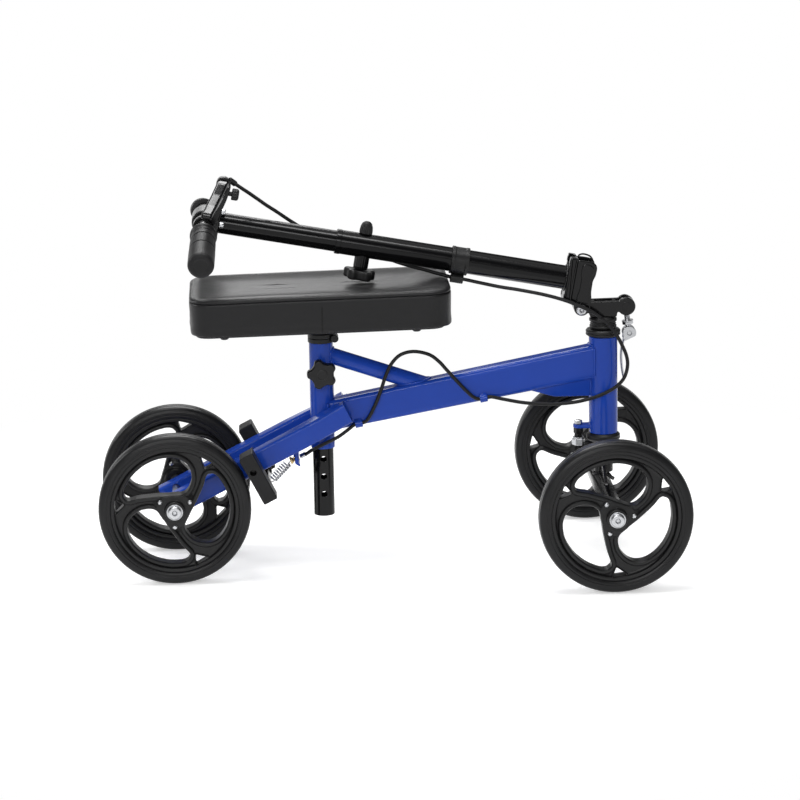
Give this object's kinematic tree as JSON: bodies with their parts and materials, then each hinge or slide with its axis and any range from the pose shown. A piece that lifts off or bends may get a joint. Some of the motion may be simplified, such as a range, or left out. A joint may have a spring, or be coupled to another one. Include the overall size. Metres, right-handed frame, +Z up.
{
  "type": "folding knee walker",
  "caption": "Steerable folding knee walker with a height-set knee pad, a folding height-set handlebar, a hand lever brake on the rear tyres and wide front wheels.",
  "frame": {"origin": "on the floor, midway between the front and rear axles, in the middle plane", "axes": "+X forward along the wheelbase, +Y to the rider's left, +Z up"},
  "size_m": [0.768, 0.4236, 0.5307],
  "materials": {
    "blue_paint": "gloss",
    "black_paint": "gloss",
    "black_plastic": "satin",
    "black_rubber": "matt",
    "tyre_rubber": "matt",
    "pad_vinyl": "grained vinyl",
    "bright_steel": "bright",
    "brass": "bright"
  },
  "bodies": {
    "frame": {"head_tube": "blue_paint", "main_beam": "blue_paint", "seat_strut": "blue_paint", "seat_tube": "blue_paint", "rear_rail_right": "blue_paint", "rear_rail_left": "blue_paint", "steering_stop_bolt": "bright_steel", "upper_bearing_cup": "black_plastic", "lower_bearing_cup": "black_plastic", "seat_collar": "black_plastic", "rear_axle": "bright_steel", "frame_cable": "black_rubber", "cable_adjuster": "brass", "brake_pivot_bolt": "bright_steel", "brake_return_spring": "bright_steel"},
    "steering": {"steerer_stem": "black_paint", "front_axle_beam": "black_paint", "front_axle": "bright_steel", "spacer_stack": "black_plastic", "fold_bracket": "black_paint", "fold_pivot_bolt": "bright_steel", "swing_bolt_pin": "bright_steel", "steer_cable": "black_rubber"},
    "swing_bolt": {"swing_bolt": "bright_steel", "swing_bolt_nut": "bright_steel"},
    "cam_lever": {"cam_lever": "bright_steel"},
    "column": {"column_foot": "black_paint", "outer_tube": "black_paint", "retaining_loop": "black_plastic", "cable_clip": "black_plastic", "column_cap_nut": "black_rubber", "fold_cable": "black_rubber"},
    "height_knob": {"height_knob": "black_plastic"},
    "handlebar": {"inner_tube": "black_paint", "bar_clamp": "black_plastic", "clamp_bolt_upper": "bright_steel", "clamp_bolt_lower": "bright_steel", "handlebar": "black_paint", "grip_right": "black_rubber", "grip_left": "black_rubber", "brake_bracket": "black_plastic", "lever_cable": "black_rubber"},
    "brake_lever": {"brake_lever": "black_paint"},
    "brake_lock_button": {"brake_lock_button": "black_plastic"},
    "seat": {"seat_post": "black_paint", "seat_plate": "black_paint", "seat_board": "black_plastic", "knee_pad": "pad_vinyl"},
    "seat_knob": {"seat_knob": "black_plastic"},
    "brake_shoes": {"brake_shoe_frame": "black_paint", "brake_shoe_right": "black_rubber", "brake_shoe_left": "black_rubber"},
    "rear_right_wheel": {"rear_right_wheel_centre": "black_plastic", "rear_right_wheel_tyre": "tyre_rubber"},
    "rear_left_wheel": {"rear_left_wheel_centre": "black_plastic", "rear_left_wheel_tyre": "tyre_rubber"},
    "front_right_wheel": {"front_right_wheel_centre": "black_plastic", "front_right_wheel_tyre": "tyre_rubber"},
    "front_left_wheel": {"front_left_wheel_centre": "black_plastic", "front_left_wheel_tyre": "tyre_rubber"}
  },
  "joints": [
    {"name": "steer", "type": "hinge", "parent": "frame", "child": "steering", "pos_m": [0.288, 0, 0.3], "axis": [0, 0, 1], "range_deg": [-40, 40], "deforming": ["steer_cable"]},
    {"name": "column_fold", "type": "hinge", "parent": "steering", "child": "column", "pos_m": [0.2575, 0, 0.338], "axis": [0, 1, 0], "range_deg": [0, 79.4], "deforming": ["fold_cable"]},
    {"name": "height_knob_turn", "type": "hinge", "parent": "column", "child": "height_knob", "pos_m": [-0.03345, 0, 0.39245], "axis": [0.184, 0, 0.9829], "continuous": true},
    {"name": "handle_slide", "type": "slide", "parent": "column", "child": "handlebar", "axis": [-0.9829, 0, 0.184], "range_m": [-0.11, 0.11], "deforming": ["lever_cable"]},
    {"name": "brake_lever_pull", "type": "hinge", "parent": "handlebar", "child": "brake_lever", "pos_m": [-0.20918, -0.06, 0.51893], "axis": [0.9829, 0, -0.184], "range_deg": [0, 13], "stiffness_Nm_per_rad": 0.8, "springref_deg": -14.32},
    {"name": "brake_lock_press", "type": "slide", "parent": "handlebar", "child": "brake_lock_button", "axis": [-0.9829, 0, 0.184], "range_m": [0, 0.002], "stiffness_N_per_m": 400, "springref_m": -0.002},
    {"name": "seat_lift", "type": "slide", "parent": "frame", "child": "seat", "axis": [0, 0, 1], "range_m": [0, 0.096]},
    {"name": "seat_knob_turn", "type": "hinge", "parent": "frame", "child": "seat_knob", "pos_m": [-0.0865, -0.024, 0.263], "axis": [0, 1, 0], "continuous": true},
    {"name": "swing_bolt_swing", "type": "hinge", "parent": "steering", "child": "swing_bolt", "pos_m": [0.318, 0, 0.339], "axis": [0, -1, 0], "range_deg": [0, 172.8]},
    {"name": "cam_lever_turn", "type": "hinge", "parent": "swing_bolt", "child": "cam_lever", "pos_m": [0.3225, 0, 0.302], "axis": [0, -1, 0], "range_deg": [0, 18]},
    {"name": "brake_shoe_swing", "type": "hinge", "parent": "frame", "child": "brake_shoes", "pos_m": [-0.1805, 0, 0.1485], "axis": [0, -1, 0], "range_deg": [0, 18], "deforming": ["brake_return_spring"]},
    {"name": "rear_right_wheel_spin", "type": "hinge", "parent": "frame", "child": "rear_right_wheel", "pos_m": [-0.284, -0.0825, 0.1], "axis": [0, 1, 0], "continuous": true},
    {"name": "rear_left_wheel_spin", "type": "hinge", "parent": "frame", "child": "rear_left_wheel", "pos_m": [-0.284, 0.0825, 0.1], "axis": [0, 1, 0], "continuous": true},
    {"name": "front_right_wheel_spin", "type": "hinge", "parent": "steering", "child": "front_right_wheel", "pos_m": [0.284, -0.184, 0.1], "axis": [0, 1, 0], "continuous": true},
    {"name": "front_left_wheel_spin", "type": "hinge", "parent": "steering", "child": "front_left_wheel", "pos_m": [0.284, 0.184, 0.1], "axis": [0, 1, 0], "continuous": true}
  ],
  "couplings": [
    {"joint": "brake_shoe_swing", "follows": "brake_lever_pull", "ratio": 1.3846},
    {"joint": "seat_lift", "follows": "column_fold", "m_per_rad": 0.06927}
  ]
}
